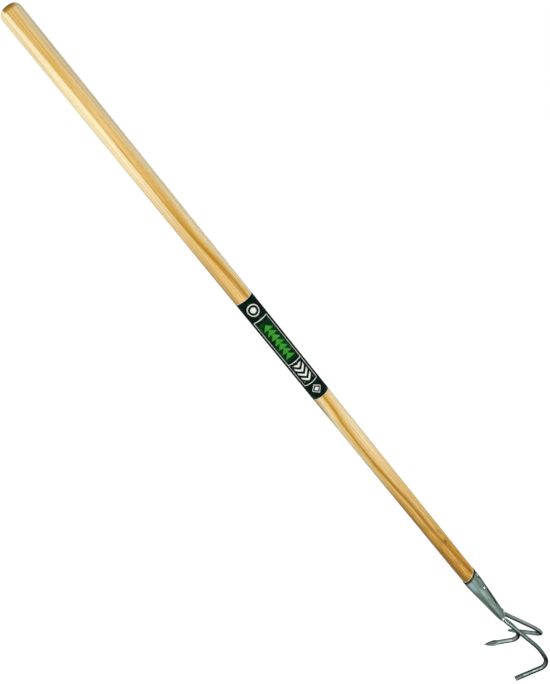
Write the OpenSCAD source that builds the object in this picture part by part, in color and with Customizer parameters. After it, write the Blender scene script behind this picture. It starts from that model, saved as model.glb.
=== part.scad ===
// Long handled cultivator: a turned wooden shaft, a rolled sheet-steel socket
// and three bent rod tines that are welded into the socket's pinched end.
// The shaft stands along Z with the head at its lower end and the hooks towards -Y.
// The origin lies on the shaft's axis, where a rack clip or a hand holds the tool.

/* [Handle] */
// Diameter of the wooden shaft
handle_d = 30; // [26:0.5:34]
// Whole length of the shaft, with the tenon inside the socket
handle_l = 1200; // [900:10:1700]
// Radius of the rounding at the shaft's top end
end_round = 9; // [4:0.5:12]
// Distance from the top end down to where the shaft is held
grip_drop = 240; // [100:10:400]
// Length of the tenon inside the socket
tenon_l = 56; // [50:1:70]
// Depth by which the shaft is turned down to enter the socket
tenon_step = 0.9; // [0.5:0.1:2]
// Depth by which the shaft narrows down to its slanted shoulder
shoulder_step = 0.3; // [0.1:0.1:0.4]
// Gap between the slanted shoulder and the socket's mouth
shoulder_gap = 0.8; // [0.4:0.1:2]
// Length of the narrowing above the highest point of the mouth
neck_l = 12; // [6:1:30]
// Clearance between the tenon and the socket
tenon_gap = 0.2; // [0.1:0.05:0.3]

/* [Label] */
// Distance from the shaft's top end down to the label
label_drop = 472; // [300:1:600]
// Length of the label along the shaft
label_l = 198; // [100:1:260]
// Thickness of the label film
label_t = 0.15; // [0.1:0.01:0.2]

/* [Socket] */
// Thickness of the sheet steel
sheet_t = 1.2; // [0.8:0.1:2]
// Length from the middle of the mouth to the pinched end
socket_l = 124; // [105:1:160]
// Length of the round collar above the taper
collar_l = 22; // [16:1:30]
// Slant of the mouth, which stands higher at the back
mouth_slant = 23; // [5:1:30]
// Width of the open seam at the back
seam_w = 3; // [1:0.1:4]
// Length of the open seam below the middle of the mouth
seam_l = 86; // [75:1:94]
// Tilt of the open seam, which runs down to the right
seam_turn = 1.2; // [0.5:0.1:2]

/* [Nails] */
// Diameter of the nail heads
nail_head_d = 7; // [5:0.1:8]
// Height of the domed nail heads
nail_head_h = 1.8; // [1:0.1:3]
// Diameter of the nail shanks
nail_d = 3.4; // [2.5:0.1:4]
// Length of the nail shanks
nail_l = 18; // [10:1:20]
// Depth of the flat seats pressed into the sheet
seat_depth = 0.45; // [0.2:0.05:0.6]
// Distance of the upper nail below the middle of the mouth
upper_nail_drop = 5; // [3:0.5:8]
// Distance of the lower nail below the middle of the mouth
lower_nail_drop = 35; // [30:0.5:46]
// Swing of the lower nail from the seam round to the right
lower_nail_swing = 23; // [18:1:60]
// Clearance around the nails
nail_gap = 0.1; // [0.05:0.05:0.2]

/* [Tines] */
// Diameter of the tine rods
rod_d = 8; // [6:0.1:9]
// Clearance between the roots of neighbouring tines, and round them in the socket
root_gap = 0.2; // [0.1:0.05:0.4]
// Distance between the roots of the outer tines, with the middle root set in front of them
root_spread = 13; // [10:0.5:15]
// Length of the roots inside the socket
root_l = 26; // [15:1:40]
// Distance from the socket's end down to the corner of the root bends
root_out = 2; // [1.5:0.5:6]
// Radius of the bends where the tines leave the socket
root_bend_r = 12; // [8:1:16]
// Sideways spread of the outer tines
splay = 16; // [5:1:25]
// Outward lean of the outer hooks
hook_lean = 19; // [0:1:35]
// Rise of the outer tines towards the back
outer_rise = 19; // [5:1:30]
// Rise of the middle tine towards the back
middle_rise = 16; // [5:0.5:25]
// Straight length of the outer tines above their sweep
outer_shank_l = 75; // [40:1:110]
// Straight length of the middle tine above its sweep
middle_shank_l = 17.5; // [10:0.5:60]
// Radius of the gentle sweep
sweep_r = 100; // [60:1:160]
// Turn of the gentle sweep
sweep_turn = 21.5; // [10:0.5:40]
// Radius of the outer tines' tight hook bend
outer_hook_r = 15.5; // [10:0.5:25]
// Radius of the middle tine's rounder hook bend
middle_hook_r = 20; // [10:0.5:30]
// Turn of the hook bends
hook_turn = 92; // [70:1:105]
// Straight length of the outer hooks with their forged ends
outer_hook_l = 52.5; // [40:0.5:80]
// Straight length of the middle hook with its forged end
middle_hook_l = 52; // [48:1:80]
// Swelling of the rod in its sweep, twice as much in the hook bend
bend_swell = 0.04; // [0.03:0.01:0.05]

/* [Forged ends] */
// Length of the middle tine's spear blade
spear_l = 31; // [22:1:45]
// Distance from the round rod to the spear's shoulder
shoulder_l = 12; // [6:1:18]
// Width of the spear at its shoulder
spear_w = 12.2; // [9:0.1:14]
// Width of the spear's blunt point
point_w = 1.6; // [0.8:0.1:3]
// Length of the outer tines' chisel ends
chisel_l = 14; // [8:1:25]
// Width of the chisel edges
chisel_w = 8.4; // [7:0.1:12]
// Turn of the chisel edges about their hooks
chisel_turn = 45; // [0:5:90]
// Thickness of the points and edges
edge_t = 1.2; // [0.8:0.1:2]
// Swelling of the rod where its forged end begins
forge_swell = 0.1; // [0.05:0.05:0.4]

/* [Weld] */
// Length of the weld below the socket
weld_l = 9; // [5:0.5:14]
// Depth by which the weld stays inside the socket's outer edge
weld_inset = 0.3; // [0.1:0.1:0.6]
// Diameter to which the weld runs out on each tine
weld_tip_d = 6; // [4:0.5:7]
// Offset of the weld's lower end towards the back
weld_lean = 2; // [0:0.5:4]

/* [Hidden] */
// Length by which cuts run past the faces that they open
overrun = 0.5;
// Length by which one stretch of rod runs into the next
lap = 0.3;
// Thickness of the slices that hulls are spanned between
slice = 0.01;
// Facets of the shaft and the rods, and of the shapes spanned by hulls
round_fn = 96;
hull_fn = 48;

// Share of the step between the roots that lies behind the axis
root_share = 1 / 3;

// The socket's bore follows the tenon, and its pinched end follows the three tine roots
tenon_d = handle_d - 2 * tenon_step;
bore_d = tenon_d + 2 * tenon_gap;
mouth_d = bore_d + 2 * sheet_t;
root_step = sqrt(max(0, pow(rod_d + root_gap, 2) - pow(root_spread / 2, 2)));
end_bore_d = rod_d + root_gap;
end_d = end_bore_d + 2 * sheet_t;
rim_rise = tan(mouth_slant) * mouth_d / 2;

// Heights of the main stations along the shaft
top_z = grip_drop;
mouth_z = top_z - handle_l + tenon_l;
end_z = mouth_z - socket_l;
spread_z = end_z - root_out;

// Place of a tine root in the socket's end: the outer ones stand behind the middle one
function root_y(side) = (side == 0 ? root_share - 1 : root_share) * root_step;
function root_place(side, z) = [side * root_spread / 2, root_y(side), z];

// Share of the taper that lies above a depth below the mouth
function taper_share(drop) = max(0, drop - collar_l) / (socket_l - collar_l);
// Distance from the axis to the socket's back, from diameters at the mouth and round a root
function back_reach(drop, mouth, end) =
    mouth / 2 + (root_y(1) + end / 2 - mouth / 2) * taper_share(drop);
// Root that the wall runs down to: the right one, or the middle of the back where the swing is 0
function wall_root(swing) = [swing == 0 ? 0 : root_spread / 2, root_y(1), 0];
// Outward direction of the wall, seen from above, at a swing from the seam to the right
function wall_way(swing) = [sin(swing), cos(swing), 0];
// Slope of the wall at a depth below the mouth
function wall_slope(drop, swing) =
    drop < collar_l ? 0 :
    atan((mouth_d / 2 - end_d / 2 - wall_root(swing) * wall_way(swing)) / (socket_l - collar_l));
// Place on the outside of the wall
function wall_place(drop, swing) =
    (mouth_d + (end_d - mouth_d) * taper_share(drop)) / 2 * wall_way(swing)
    + taper_share(drop) * wall_root(swing) + [0, 0, mouth_z - drop];

// Direction of a tine's shank below its root bend
function shank_way(side, rise) = [
    sin(side * splay) * cos(rise) - sin(side * hook_lean) * cos(side * splay) * sin(rise),
    cos(side * hook_lean) * sin(rise),
    -cos(side * splay) * cos(rise) - sin(side * hook_lean) * sin(side * splay) * sin(rise)
];

// Solid form of the socket, smaller all round by an inset and longer by a run at both ends
module socket_form(inset, run) {
    hull() {
        translate([0, 0, mouth_z - collar_l])
            cylinder(d = mouth_d - 2 * inset, h = rim_rise + collar_l + run, $fn = hull_fn);
        for (side = [-1:1])
            translate(root_place(side, end_z - run))
                cylinder(d = end_d - 2 * inset, h = slice, $fn = hull_fn);
    }
}

// Places its children on the socket's wall, with Z along the outward normal
module on_wall(drop, swing) {
    translate(wall_place(drop, swing))
        rotate([-90 - wall_slope(drop, swing), 0, -swing])
            children();
}

// Nail with a domed head that stands on Z = 0
module nail() {
    dome_r = (nail_head_d * nail_head_d / 4 + nail_head_h * nail_head_h) / (2 * nail_head_h);
    intersection() {
        translate([0, 0, nail_head_h - dome_r])
            sphere(r = dome_r, $fn = round_fn);
        cylinder(d = nail_head_d, h = nail_head_h, $fn = round_fn);
    }
    translate([0, 0, -nail_l])
        cylinder(d = nail_d, h = nail_l, $fn = round_fn);
}

// Room for a nail, with the flat seat of its head
module nail_room() {
    translate([0, 0, -seat_depth])
        cylinder(d = nail_head_d + 2 * nail_gap, h = seat_depth + nail_head_h, $fn = round_fn);
    translate([0, 0, -seat_depth - nail_l - nail_gap])
        cylinder(d = nail_d + 2 * nail_gap, h = nail_l + seat_depth, $fn = round_fn);
}

// Half outline of the tenon, which follows the socket's back and runs up into the shaft
module tenon_outline() {
    tip_r = back_reach(tenon_l, bore_d, end_bore_d) - tenon_gap;
    polygon([
        [0, 0],
        [tip_r, 0],
        [tenon_d / 2, tenon_l - collar_l],
        [tenon_d / 2, tenon_l + rim_rise + neck_l],
        [0, tenon_l + rim_rise + neck_l]
    ]);
}

// Half outline of the shaft from below the mouth to the rounding of its top end
module shaft_outline() {
    polygon([
        [0, tenon_l - collar_l],
        [handle_d / 2 - shoulder_step, tenon_l - collar_l],
        [handle_d / 2 - shoulder_step, tenon_l + rim_rise],
        [handle_d / 2, tenon_l + rim_rise + neck_l],
        [handle_d / 2, handle_l - end_round],
        [0, handle_l - end_round]
    ]);
}

// Half outline of the rounded top end
module crown_outline() {
    intersection() {
        translate([handle_d / 2 - end_round, 0])
            circle(r = end_round, $fn = round_fn);
        square([handle_d / 2, end_round]);
    }
    square([handle_d / 2 - end_round, end_round]);
}

// Straight stretch of rod that runs into its neighbours, with its children at the far end
module straight_rod(length) {
    translate([0, 0, -lap])
        cylinder(d = rod_d, h = length + 2 * lap, $fn = round_fn);
    translate([0, 0, length])
        children();
}

// Rod bent from Z towards X that runs on by a length, with its children at the far end
module bent_rod(radius, turn, swell, run) {
    run_turn = run / radius * 180 / PI;
    translate([radius, 0, 0])
        rotate([90, 0, 180])
            rotate_extrude(angle = turn + run_turn, $fn = round_fn)
                translate([radius, 0])
                    circle(d = rod_d + 2 * swell, $fn = round_fn);
    translate([radius, 0, 0])
        rotate([0, turn, 0])
            translate([-radius, 0, 0])
                children();
}

// Thin slice of the rod where its forged end begins
module forge_slice() {
    cylinder(d = rod_d + 2 * forge_swell, h = slice, $fn = hull_fn);
}

// Spear blade of the middle tine, broad across the tine's own plane
module spear() {
    hull() {
        forge_slice();
        translate([0, 0, shoulder_l])
            scale([edge_t, spear_w, 1])
                cylinder(d = 1, h = slice, $fn = hull_fn);
        translate([0, 0, spear_l - slice])
            scale([edge_t, point_w, 1])
                cylinder(d = 1, h = slice, $fn = hull_fn);
    }
}

// Chisel end of an outer tine, its edge turned inwards
module chisel(side) {
    rotate([0, 0, -side * chisel_turn])
        hull() {
            forge_slice();
            translate([-edge_t / 2, -chisel_w / 2, chisel_l - slice])
                cube([edge_t, chisel_w, slice]);
        }
}

// Root of a tine in the socket and its bend, with the shank as a child at the far end
module tine_root(side, rise) {
    way = shank_way(side, rise);
    turn = acos(-way.z);
    reach = root_bend_r * tan(turn / 2);
    translate(root_place(side, spread_z)) {
        translate([0, 0, reach - lap])
            cylinder(d = rod_d, h = root_out + root_l - reach + lap, $fn = round_fn);
        translate([0, 0, reach])
            rotate([180, 0, atan2(way.y, way.x)])
                bent_rod(root_bend_r, turn, bend_swell, 0);
        rotate([0, -side * splay, 0])
            rotate([0, 0, side * hook_lean])
                rotate([180, 0, -90])
                    rotate([0, -rise, 0])
                        translate([0, 0, reach])
                            children();
    }
}

// Shank, sweep and hook of a tine, with its forged end as a child
module hooked_rod(shank_l, hook_r, hook_l) {
    straight_rod(shank_l)
        bent_rod(sweep_r, sweep_turn, bend_swell, lap)
            bent_rod(hook_r, hook_turn, 2 * bend_swell, 0)
                straight_rod(hook_l)
                    children();
}

// Outer tine on the left (-1) or on the right (1)
module outer_tine(side) {
    tine_root(side, outer_rise)
        hooked_rod(outer_shank_l, outer_hook_r, outer_hook_l - chisel_l)
            chisel(side);
}

module handle() {
    color("burlywood")
        difference() {
            union() {
                translate([0, 0, top_z - handle_l])
                    rotate_extrude($fn = round_fn)
                        tenon_outline();
                difference() {
                    translate([0, 0, top_z - handle_l])
                        rotate_extrude($fn = round_fn)
                            shaft_outline();
                    // slanted shoulder
                    translate([0, 0, mouth_z + shoulder_gap])
                        rotate([mouth_slant, 0, 0])
                            translate([-handle_d, -handle_d, -handle_d])
                                cube([2 * handle_d, 2 * handle_d, handle_d]);
                }
                translate([0, 0, top_z - end_round])
                    rotate_extrude($fn = round_fn)
                        crown_outline();
            }
            on_wall(upper_nail_drop, 0)
                nail_room();
            on_wall(lower_nail_drop, lower_nail_swing)
                nail_room();
        }
}

module label() {
    color("darkgreen")
        translate([0, 0, top_z - label_drop - label_l])
            difference() {
                cylinder(d = handle_d + 2 * label_t, h = label_l, $fn = round_fn);
                translate([0, 0, -overrun])
                    cylinder(d = handle_d, h = label_l + 2 * overrun, $fn = round_fn);
            }
}

module socket() {
    color("lightslategray")
        difference() {
            socket_form(0, 0);
            socket_form(sheet_t, overrun);
            // slanted mouth
            translate([0, 0, mouth_z])
                rotate([mouth_slant, 0, 0])
                    translate([-mouth_d, -mouth_d, 0])
                        cube([2 * mouth_d, 2 * mouth_d, 2 * rim_rise + overrun]);
            // open seam with a round lower end
            translate([0, 0, mouth_z])
                rotate([0, -seam_turn, 0]) {
                    translate([-seam_w / 2, 0, -seam_l])
                        cube([seam_w, mouth_d, seam_l + rim_rise + overrun]);
                    translate([0, 0, -seam_l])
                        rotate([-90, 0, 0])
                            cylinder(d = seam_w, h = mouth_d, $fn = round_fn);
                }
            on_wall(upper_nail_drop, 0)
                nail_room();
            on_wall(lower_nail_drop, lower_nail_swing)
                nail_room();
        }
}

module upper_nail() {
    color("silver")
        on_wall(upper_nail_drop, 0)
            translate([0, 0, -seat_depth])
                nail();
}

module lower_nail() {
    color("silver")
        on_wall(lower_nail_drop, lower_nail_swing)
            translate([0, 0, -seat_depth])
                nail();
}

module left_tine() {
    color("slategray")
        outer_tine(-1);
}

module middle_tine() {
    color("slategray")
        tine_root(0, middle_rise)
            hooked_rod(middle_shank_l, middle_hook_r, middle_hook_l - spear_l)
                spear();
}

module right_tine() {
    color("slategray")
        outer_tine(1);
}

module root_weld() {
    color("gainsboro")
        difference() {
            hull() {
                for (side = [-1:1]) {
                    translate(root_place(side, end_z - slice))
                        cylinder(d = end_d - 2 * weld_inset, h = slice, $fn = hull_fn);
                    translate(root_place(side, end_z - weld_l) + [0, weld_lean, 0])
                        cylinder(d = weld_tip_d, h = slice, $fn = hull_fn);
                }
            }
            for (side = [-1, 1])
                tine_root(side, outer_rise)
                    straight_rod(weld_l);
            tine_root(0, middle_rise)
                straight_rod(weld_l);
        }
}

handle();
label();
socket();
upper_nail();
lower_nail();
left_tine();
middle_tine();
right_tine();
root_weld();
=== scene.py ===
"""Looks of a long handled cultivator claw, laid out as an add-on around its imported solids."""
import math

import bmesh
import bpy
import numpy as np
from bpy.props import FloatProperty, FloatVectorProperty, PointerProperty
from mathutils import Matrix, Vector


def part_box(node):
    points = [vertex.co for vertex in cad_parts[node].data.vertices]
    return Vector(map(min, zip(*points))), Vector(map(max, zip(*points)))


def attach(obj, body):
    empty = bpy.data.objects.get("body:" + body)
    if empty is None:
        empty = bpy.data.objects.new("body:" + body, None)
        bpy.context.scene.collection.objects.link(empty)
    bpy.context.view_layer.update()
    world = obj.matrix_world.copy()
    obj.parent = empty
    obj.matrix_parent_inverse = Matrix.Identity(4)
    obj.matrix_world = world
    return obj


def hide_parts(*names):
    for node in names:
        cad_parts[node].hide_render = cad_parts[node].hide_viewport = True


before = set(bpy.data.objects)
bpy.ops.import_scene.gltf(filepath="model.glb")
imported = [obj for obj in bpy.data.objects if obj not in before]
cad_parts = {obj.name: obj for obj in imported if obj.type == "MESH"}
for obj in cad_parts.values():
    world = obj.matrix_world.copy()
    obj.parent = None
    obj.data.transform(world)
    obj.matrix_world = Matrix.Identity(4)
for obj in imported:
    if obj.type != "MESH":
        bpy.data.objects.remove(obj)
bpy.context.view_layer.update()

bl_info = {
    "name": "Cultivator Claw Looks",
    "version": (1, 0, 0),
    "blender": (4, 5, 0),
    "location": "View3D > Sidebar > Cultivator",
    "description": "Builds the finished pieces of a long handled cultivator claw",
    "category": "Object",
}

MM = 0.001
BODY = "root"
# Fineness of the meshes: turns, rows of the shaft, sides of a rod and its steps, smoothing of the weld
TURN_STEPS = 128
SHAFT_ROWS = 36
ROD_SIDES = 40
ROD_STEP = 5 * MM
WELD_PASSES = 9
# Length that one unit of a piece's UV map stands for
UV_SPAN = 0.3
# Where the middle of the label's panel lies along its UV map, and the film thicknesses that its lap climbs
PANEL_MIDDLE = 50 * MM
LAP_RISE = 1.6
# Direction across the shaft in which its growth rings follow each other, and height where bare wood ends
GRAIN_ACROSS = math.radians(117.1)
GRAIN_FOOT = -0.904
# Distances from the edge of a growth ring, in radii of the shaft, that the colours of the wood span
RING_FROM, RING_TO = -1.3, 1.5
# Share of the way down the shaft, and how far the ring's edge has wandered across it there
RING_DRIFT = ((0, 0.2), (0.1, 0.26), (0.22, 0.28), (0.3, 0.31), (0.34, 0.45), (0.37, 0.57), (0.41, 0.62),
              (0.5, 0.55), (0.6, 0.42), (0.65, 0.12), (0.7, 0.06), (0.76, 0.16), (0.82, 0.38), (0.88, 0.44),
              (0.92, 0.6), (0.96, 0.72), (1.0, 0.92))
# Columns of the socket's sheet: millimetres from the seam's edge, then a count of even ones round the rest
SEAM_COLUMNS = (0.0, 0.5, 1.0, 1.6, 2.3, 3.0, 3.8, 4.7, 5.7)
EVEN_COLUMNS = 84
# Rows of the sheet: millimetres below the mouth, denser at the rim, the nails and the lower end
SHEET_DROPS = (0, 0.3, 0.9, *np.linspace(1.8, 52, 56), *np.linspace(53.5, 89, 24), 90, 91, 91.5, 92, 92.3, 92.5,
               *np.linspace(94, 122, 15), 123.2, 123.7, 124)
# Width of the sheet on its UV map, its crease, and the round seats that the nails press into it
SHEET_GIRTH = 97 * MM
CREASE_RISE, CREASE_WIDTH, CREASE_LENGTH = 0.5 * MM, 1.5 * MM, 75 * MM
SEAT_RADIUS, SEAT_SLOPE = 6.5 * MM, 2.6 * MM
# Spear blade: share of its length, thickness in millimetres, share of its shoulder's width
SPEAR_PROFILE = ((0.06, 7.8, 0.67), (0.12, 7.2, 0.72), (0.2, 6.0, 0.83), (0.28, 4.8, 0.93), (0.34, 4.1, 0.98),
                 (0.4, 3.5, 1.0), (0.47, 3.1, 0.98), (0.55, 2.8, 0.92), (0.65, 2.5, 0.8), (0.75, 2.2, 0.64),
                 (0.85, 1.9, 0.46), (0.93, 1.6, 0.29), (0.98, 1.3, 0.18), (1.0, 0.7, 0.1))


def box_of(node, corner, axis):
    """One coordinate of a CAD node's box, rounded to a hundredth of a millimetre."""
    return round(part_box(node)[corner][axis], 5)


def srgb(red, green, blue):
    """Linear colour of a colour that is written as it shows on a screen."""
    parts = [c / 255 for c in (red, green, blue)]
    return tuple(c / 12.92 if c <= 0.04045 else ((c + 0.055) / 1.055) ** 2.4 for c in parts)


def length(name, description, default):
    """A length that a user may change."""
    return FloatProperty(name=name, description=description, default=default, unit="LENGTH", precision=5)


def angle(name, description, degrees):
    """An angle that a user may change."""
    return FloatProperty(name=name, description=description, default=math.radians(degrees), subtype="ANGLE")


def colour(name, description, *screen):
    """A colour that a user may change, written as it shows on a screen."""
    return FloatVectorProperty(name=name, description=description, default=srgb(*screen),
                               min=0, max=1, size=3, subtype="COLOR")


class ShaftSettings(bpy.types.PropertyGroup):
    """Sizes and colours of the wooden shaft."""

    radius: length("Radius", "Radius of the shaft", box_of("handle", 1, 0))
    top: length("Top", "Height of the top end", box_of("handle", 1, 2))
    bottom: length("Bottom", "Height of the tenon's lower end", box_of("handle", 0, 2))
    end_round: length("End rounding", "Radius of the rounding at the top end", 9 * MM)
    neck: length("Neck", "Length of the narrowing above the mouth", 12 * MM)
    neck_step: length("Neck step", "Depth of the narrowing at the shoulder", 0.3 * MM)
    shoulder_gap: length("Shoulder gap", "Gap between the shoulder and the mouth", 0.8 * MM)
    tenon_radius: length("Tenon radius", "Radius of the tenon", 14.1 * MM)
    tip_radius: length("Tip radius", "Radius of the tenon's lower end", 11.26 * MM)
    # pale also gives the painted highlight along the shoulder beside the socket
    pale: colour("Pale wood", "Sapwood beside a growth ring", 255, 238, 192)
    cream: colour("Cream wood", "Early wood of a growth ring", 248, 232, 188)
    warm: colour("Warm wood", "Middle of a growth ring", 233, 196, 122)
    amber: colour("Amber wood", "Late wood far from the socket", 222, 176, 80)
    golden: colour("Golden wood", "Dark line of a growth ring", 194, 147, 46)
    brown: colour("Brown wood", "Dark line near the socket and end grain", 172, 118, 12)
    umber: colour("Umber wood", "Handled wood near the socket", 158, 114, 46)
    honey: colour("Honey", "Golden wood towards the head", 232, 176, 78)
    knot: colour("Knot", "Dark brown of the small knot and the stains", 112, 66, 16)
    # painted shade: the dark line in the gap beside the socket, and the darkening at the top of the crown
    painted_shade_brown: colour("Dirt", "Dark line beside the socket", 40, 28, 14)


class LabelSettings(bpy.types.PropertyGroup):
    """Sizes and colours of the label sleeve."""

    top: length("Top", "Height of the upper edge", box_of("label", 1, 2))
    bottom: length("Bottom", "Height of the lower edge", box_of("label", 0, 2))
    radius: length("Radius", "Outer radius of the sleeve", box_of("label", 1, 0))
    film: length("Film", "Thickness of the film", 0.08 * MM)
    lap: angle("Lap", "Angle by which the film laps over itself", 9)
    facing: angle("Facing", "Direction that the printed panel faces", 27.1)
    ground: colour("Ground", "Black green of the film", 0, 21, 11)
    panel: colour("Panel", "Green of the middle panel", 6, 70, 20)
    leaf: colour("Leaf", "Bright green of the motif", 58, 148, 48)
    line: colour("Line", "Pale lines and motifs", 224, 228, 222)


class SocketSettings(bpy.types.PropertyGroup):
    """Sizes and colours of the rolled sheet socket."""

    radius: length("Radius", "Outer radius of the collar", box_of("socket", 1, 0))
    end: length("End", "Height of the pinched end", box_of("socket", 0, 2))
    depth: length("Depth", "Length from the middle of the mouth to the end", 124 * MM)
    collar: length("Collar", "Length of the round collar", 22 * MM)
    slant: angle("Slant", "Slant of the mouth", 23)
    sheet: length("Sheet", "Thickness of the sheet", 1.2 * MM)
    seam_width: length("Seam width", "Width of the open seam", 3 * MM)
    seam_length: length("Seam length", "Length of the open seam", 86 * MM)
    seam_turn: angle("Seam turn", "Tilt of the open seam to the right", 1.2)
    end_radius: length("End radius", "Radius of the sheet round one rod", 5.3 * MM)
    root_spread: length("Root spread", "Distance between the outer rods", 13 * MM)
    root_back: length("Root back", "Distance of the outer rods behind the axis", 1.667 * MM)
    root_front: length("Root front", "Distance of the middle rod before the axis", 3.333 * MM)
    steel: colour("Steel", "Grey green of the sheet", 110, 129, 121)
    pale: colour("Pale steel", "Rubbed places of the sheet", 136, 156, 148)
    # dark also gives the painted shade right of the crease below the mouth
    dark: colour("Dark steel", "Stained places of the sheet", 76, 90, 82)
    # painted reflection: the bluish patch left of the crease below the mouth
    blue: colour("Blue steel", "Rubbed patch below the mouth", 150, 174, 182)
    # painted shade round the nail heads, along the rim and beside the open seam
    painted_shade_grey: colour("Soot", "Dirt on the rim and in the seam", 34, 38, 35)
    crease: angle("Crease", "Direction of the crease in the sheet", 24)


class NailSettings(bpy.types.PropertyGroup):
    """Sizes and colours of the two nails."""

    head: length("Head", "Radius of the heads", 3.5 * MM)
    dome: length("Dome", "Height of the domed heads", 1.8 * MM)
    shank: length("Shank", "Radius of the shanks", 1.7 * MM)
    reach: length("Reach", "Length of the shanks", 18 * MM)
    seat: length("Seat", "Depth of the seats in the sheet", 0.45 * MM)
    upper: length("Upper", "Distance of the upper nail below the mouth", 5 * MM)
    lower: length("Lower", "Distance of the lower nail below the mouth", 35 * MM)
    swing: angle("Swing", "Swing of the lower nail from the seam to the right", 23)
    steel: colour("Steel", "Bright steel of the heads", 154, 158, 151)
    dark: colour("Dark steel", "Dull steel round the heads", 78, 76, 66)


class TineSettings(bpy.types.PropertyGroup):
    """Sizes and colours of the three tines."""

    rod: length("Rod", "Radius of the rods", 4 * MM)
    top: length("Top", "Height of the roots' upper ends", box_of("left_tine", 1, 2))
    bend_at: length("Bend", "Distance of the root bends below the socket", 2 * MM)
    bend_radius: length("Bend radius", "Radius of the root bends", 12 * MM)
    splay: angle("Splay", "Sideways spread of the outer tines", 16)
    lean: angle("Lean", "Outward lean of the outer hooks", 19)
    outer_rise: angle("Outer rise", "Rise of the outer tines to the back", 19)
    middle_rise: angle("Middle rise", "Rise of the middle tine to the back", 16)
    outer_shank: length("Outer shank", "Straight length of the outer tines", 75 * MM)
    middle_shank: length("Middle shank", "Straight length of the middle tine", 17.5 * MM)
    sweep_radius: length("Sweep radius", "Radius of the gentle sweep", 100 * MM)
    sweep: angle("Sweep", "Turn of the gentle sweep", 21.5)
    outer_bend: length("Outer bend", "Radius of the outer hooks' bend", 15.5 * MM)
    middle_bend: length("Middle bend", "Radius of the middle hook's bend", 20 * MM)
    hook: angle("Hook", "Turn of the hook bends", 92)
    outer_hook: length("Outer hook", "Straight length of the outer hooks", 38.5 * MM)
    middle_hook: length("Middle hook", "Straight length of the middle hook", 21 * MM)
    chisel: length("Chisel", "Length of the chisel ends", 14 * MM)
    chisel_width: length("Chisel width", "Width of the chisel edges", 8.4 * MM)
    chisel_turn: angle("Chisel turn", "Turn of the chisel edges", 45)
    spear: length("Spear", "Length of the spear blade", 31 * MM)
    spear_width: length("Spear width", "Width of the spear's shoulder", 12.2 * MM)
    edge: length("Edge", "Thickness of the points and edges", 1.2 * MM)
    steel: colour("Steel", "Grey of the rods", 104, 123, 118)
    pale: colour("Pale steel", "Rubbed places of the rods", 152, 164, 160)
    dark: colour("Dark steel", "Scale on the rods", 48, 58, 55)
    # painted shade of the right tine
    painted_shade_steel: colour("Blued steel", "Dark steel of the right tine", 66, 79, 75)
    heat: colour("Heat colour", "Violet grey heat colour at the bends", 142, 140, 148)


class WeldSettings(bpy.types.PropertyGroup):
    """Sizes and colours of the weld between socket and rods."""

    top: length("Top", "Height of the weld's upper face", box_of("root_weld", 1, 2))
    voxel: length("Voxel", "Size of the cells that join the beads", 0.35 * MM)
    steel: colour("Steel", "Bright steel of the beads", 164, 173, 170)
    dark: colour("Dark steel", "Heat stain round the beads", 70, 76, 76)


class StageSettings(bpy.types.PropertyGroup):
    """Camera, floor and light."""

    lens: FloatProperty(name="Lens", description="Focal length in millimetres", default=35)
    eye: FloatVectorProperty(name="Eye", description="Place of the camera", size=3, unit="LENGTH",
                             default=(0.8371, 0.4284, 0.0334))
    heading: angle("Heading", "Compass direction of the view", 207.378)
    pitch: angle("Pitch", "Downward pitch of the view", 20.42)
    roll: angle("Roll", "Roll of the camera", 39.17)
    card_near: length("Card near", "Near edge of the lying dark card from the shaft's axis", -0.13)
    card_far: length("Card far", "Far edge of the lying dark card from the shaft's axis", 0.02)
    floor: length("Floor", "Height of the floor", box_of("left_tine", 0, 2) - 0.1 * MM)
    ambient: FloatProperty(name="Ambient", description="Strength of the light all round", default=0.42)


class Field:
    """A number, colour or vector that varies over a surface: one output of a shader node."""

    def __init__(self, tree, output):
        self.tree, self.output = tree, output

    def maths(self, operation, *others):
        """Result of a Math node that starts from this value."""
        return result(self.tree, "Math", {"operation": operation}, self, *others)

    def vectors(self, operation, *others, output=0):
        """Result of a Vector Math node that starts from this vector."""
        return result(self.tree, "VectorMath", {"operation": operation}, self, *others, output=output)

    def __add__(self, other):
        return self.maths("ADD", other)

    def __sub__(self, other):
        return self.maths("SUBTRACT", other)

    def __mul__(self, other):
        return self.maths("MULTIPLY", other)

    def __truediv__(self, other):
        return self.maths("DIVIDE", other)

    def __abs__(self):
        return self.maths("ABSOLUTE")


def set_inputs(tree, made, *values, **named):
    """Links fields to the inputs of a node, and sets plain values on them."""
    pairs = [(made.inputs[i], v) for i, v in enumerate(values) if v is not None]
    pairs += [(made.inputs[key.replace("_", " ")], v) for key, v in named.items()]
    for socket, value in pairs:
        if isinstance(value, Field):
            tree.links.new(value.output, socket)
        elif socket.type == "RGBA" and len(value) == 3:
            socket.default_value = (*value, 1)
        else:
            socket.default_value = value


def node(tree, kind, settings=None, *values, **named):
    """Adds a shader node with its settings and inputs."""
    made = tree.nodes.new("ShaderNode" + kind)
    for key, value in (settings or {}).items():
        setattr(made, key, value)
    set_inputs(tree, made, *values, **named)
    return made


def result(tree, kind, settings=None, *values, output=0, **named):
    """One output of a new shader node."""
    return Field(tree, node(tree, kind, settings, *values, **named).outputs[output])


def coordinates(tree, kind):
    """Coordinates of a piece, by the name of their output."""
    return result(tree, "TexCoord", output=kind)


def split(vector):
    """The three parts of a vector."""
    return [Field(vector.tree, part) for part in node(vector.tree, "SeparateXYZ", None, vector).outputs]


def step(value, low, high):
    """Smooth step from 0 at the low value to 1 at the high one."""
    return result(value.tree, "MapRange", {"interpolation_type": "SMOOTHSTEP"}, value, low, high, 0.0, 1.0)


def band(value, low, high, soft):
    """1 between two values, 0 outside, with soft edges."""
    return step(value, low - soft, low + soft) * step(value, high + soft, high - soft)


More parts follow.
